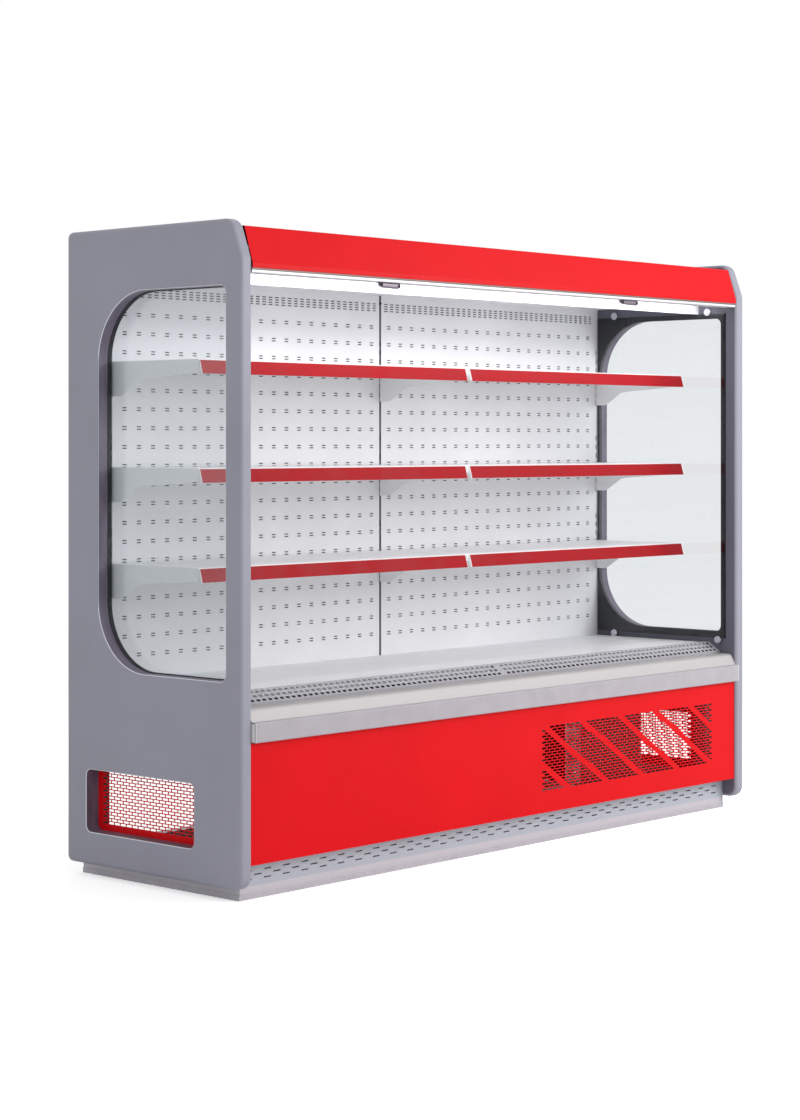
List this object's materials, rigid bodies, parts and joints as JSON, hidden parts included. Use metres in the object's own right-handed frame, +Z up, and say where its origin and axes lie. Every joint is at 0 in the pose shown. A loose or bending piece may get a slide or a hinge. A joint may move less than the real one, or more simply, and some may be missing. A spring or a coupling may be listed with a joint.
{
  "type": "open multideck display fridge",
  "caption": "Open-fronted refrigerated display cabinet: glazed end walls, hooked shelves with price rails, roll-down night blinds, perforated lower front and a condensing unit in the base",
  "frame": {"origin": "centre of the base on the floor", "axes": "X along the length, Y from the open front to the back, Z up; the open front faces -Y"},
  "size_m": [2.6, 0.808, 2.03],
  "materials": {
    "grey_panel": "satin",
    "clear_glass": "polished",
    "black_rubber": "matte",
    "bright_steel": "satin",
    "red_steel": "satin",
    "white_foam_panel": "satin",
    "aluminium": "satin",
    "white_steel": "satin",
    "white_plastic": "satin",
    "lamp_plastic": "satin",
    "cloth": "matte",
    "red_plastic": "satin",
    "grey_bumper": "satin",
    "grey_steel": "satin",
    "galvanised_steel": "satin",
    "black_plastic": "matte",
    "coil_aluminium": "satin",
    "black_steel": "satin",
    "copper": "satin",
    "grey_plastic": "matte"
  },
  "bodies": {
    "cabinet": {"air_honeycomb": "white_plastic", "back_panels": "white_steel", "back_wall": "white_foam_panel", "base_frame": "galvanised_steel", "blind_brackets": "white_steel", "bumper_band": "grey_bumper", "bumper_nosing": "aluminium", "canopy_fascia": "red_steel", "canopy_trim": "aluminium", "ceiling_panel": "white_steel", "compressor": "black_steel", "condenser_coil": "coil_aluminium", "condenser_fan_shroud": "galvanised_steel", "condensing_unit_base": "galvanised_steel", "deck_pans": "white_steel", "drain_pipe": "grey_plastic", "electrical_box": "grey_plastic", "end_glass_left": "clear_glass", "end_glass_right": "clear_glass", "end_panel_left": "grey_panel", "end_panel_right": "grey_panel", "evaporator_coil": "coil_aluminium", "evaporator_fan_plate": "galvanised_steel", "front_panel": "red_steel", "glass_fixing_discs": "bright_steel", "glass_gaskets": "black_rubber", "insulated_tub": "white_foam_panel", "led_lamps": "lamp_plastic", "levelling_feet": "galvanised_steel", "plinth": "grey_steel", "refrigerant_pipes": "copper", "return_air_grilles": "white_steel", "roof_panel": "white_foam_panel", "shelf_uprights": "white_steel", "side_grilles": "red_steel", "temperature_controller": "black_plastic"},
    "blind_left": {"blind_cloth_left": "cloth", "blind_bar_left": "aluminium"},
    "roller_left": {"blind_roller_left": "aluminium"},
    "shelf_1_left_set": {"shelf_1_left": "white_steel", "price_rail_1_left": "red_plastic"},
    "shelf_2_left_set": {"shelf_2_left": "white_steel", "price_rail_2_left": "red_plastic"},
    "shelf_3_left_set": {"shelf_3_left": "white_steel", "price_rail_3_left": "red_plastic"},
    "evaporator_fan_left_wheel": {"evaporator_fan_left": "black_plastic"},
    "blind_right": {"blind_cloth_right": "cloth", "blind_bar_right": "aluminium"},
    "roller_right": {"blind_roller_right": "aluminium"},
    "shelf_1_right_set": {"shelf_1_right": "white_steel", "price_rail_1_right": "red_plastic"},
    "shelf_2_right_set": {"shelf_2_right": "white_steel", "price_rail_2_right": "red_plastic"},
    "shelf_3_right_set": {"shelf_3_right": "white_steel", "price_rail_3_right": "red_plastic"},
    "evaporator_fan_right_wheel": {"evaporator_fan_right": "black_plastic"},
    "condenser_fan_wheel": {"condenser_fan": "black_plastic"},
    "key_set": {"controller_key_set": "black_plastic"},
    "key_up": {"controller_key_up": "black_plastic"},
    "key_down": {"controller_key_down": "black_plastic"}
  },
  "joints": [
    {"name": "blind_left_pull", "type": "slide", "parent": "cabinet", "child": "blind_left", "axis": [0, 0, -1], "range_m": [0, 1.26], "stiffness_N_per_m": 10, "springref_m": -2, "deforming": ["blind_cloth_left"]},
    {"name": "roller_left_turn", "type": "hinge", "parent": "cabinet", "child": "roller_left", "pos_m": [-0.625, -0.3357, 1.925], "axis": [1, 0, 0], "range_deg": [0, 4020]},
    {"name": "shelf_1_left_tip", "type": "hinge", "parent": "cabinet", "child": "shelf_1_left_set", "pos_m": [-0.62, 0.2602, 0.97], "axis": [-1, 0, 0], "range_deg": [0, 12]},
    {"name": "shelf_2_left_tip", "type": "hinge", "parent": "cabinet", "child": "shelf_2_left_set", "pos_m": [-0.62, 0.2602, 1.273], "axis": [-1, 0, 0], "range_deg": [0, 12]},
    {"name": "shelf_3_left_tip", "type": "hinge", "parent": "cabinet", "child": "shelf_3_left_set", "pos_m": [-0.62, 0.2602, 1.605], "axis": [-1, 0, 0], "range_deg": [0, 12]},
    {"name": "evaporator_fan_left_spin", "type": "hinge", "parent": "cabinet", "child": "evaporator_fan_left_wheel", "pos_m": [-0.45, -0.22, 0.54375], "axis": [0, 1, 0], "continuous": true},
    {"name": "blind_right_pull", "type": "slide", "parent": "cabinet", "child": "blind_right", "axis": [0, 0, -1], "range_m": [0, 1.26], "stiffness_N_per_m": 10, "springref_m": -2, "deforming": ["blind_cloth_right"]},
    {"name": "roller_right_turn", "type": "hinge", "parent": "cabinet", "child": "roller_right", "pos_m": [0.625, -0.3357, 1.925], "axis": [1, 0, 0], "range_deg": [0, 4020]},
    {"name": "shelf_1_right_tip", "type": "hinge", "parent": "cabinet", "child": "shelf_1_right_set", "pos_m": [0.62, 0.2602, 0.97], "axis": [-1, 0, 0], "range_deg": [0, 12]},
    {"name": "shelf_2_right_tip", "type": "hinge", "parent": "cabinet", "child": "shelf_2_right_set", "pos_m": [0.62, 0.2602, 1.273], "axis": [-1, 0, 0], "range_deg": [0, 12]},
    {"name": "shelf_3_right_tip", "type": "hinge", "parent": "cabinet", "child": "shelf_3_right_set", "pos_m": [0.62, 0.2602, 1.605], "axis": [-1, 0, 0], "range_deg": [0, 12]},
    {"name": "evaporator_fan_right_spin", "type": "hinge", "parent": "cabinet", "child": "evaporator_fan_right_wheel", "pos_m": [0.45, -0.22, 0.54375], "axis": [0, 1, 0], "continuous": true},
    {"name": "condenser_fan_spin", "type": "hinge", "parent": "cabinet", "child": "condenser_fan_wheel", "pos_m": [0.7, -0.15, 0.2462], "axis": [0, -1, 0], "continuous": true},
    {"name": "key_set_press", "type": "slide", "parent": "cabinet", "child": "key_set", "axis": [0, 0, 1], "range_m": [0, 0.0006], "stiffness_N_per_m": 800, "springref_m": -0.0005},
    {"name": "key_up_press", "type": "slide", "parent": "cabinet", "child": "key_up", "axis": [0, 0, 1], "range_m": [0, 0.0006], "stiffness_N_per_m": 800, "springref_m": -0.0005},
    {"name": "key_down_press", "type": "slide", "parent": "cabinet", "child": "key_down", "axis": [0, 0, 1], "range_m": [0, 0.0006], "stiffness_N_per_m": 800, "springref_m": -0.0005}
  ],
  "couplings": [
    {"joint": "roller_left_turn", "follows": "blind_left_pull", "rad_per_m": 55.556},
    {"joint": "roller_right_turn", "follows": "blind_right_pull", "rad_per_m": 55.556}
  ]
}
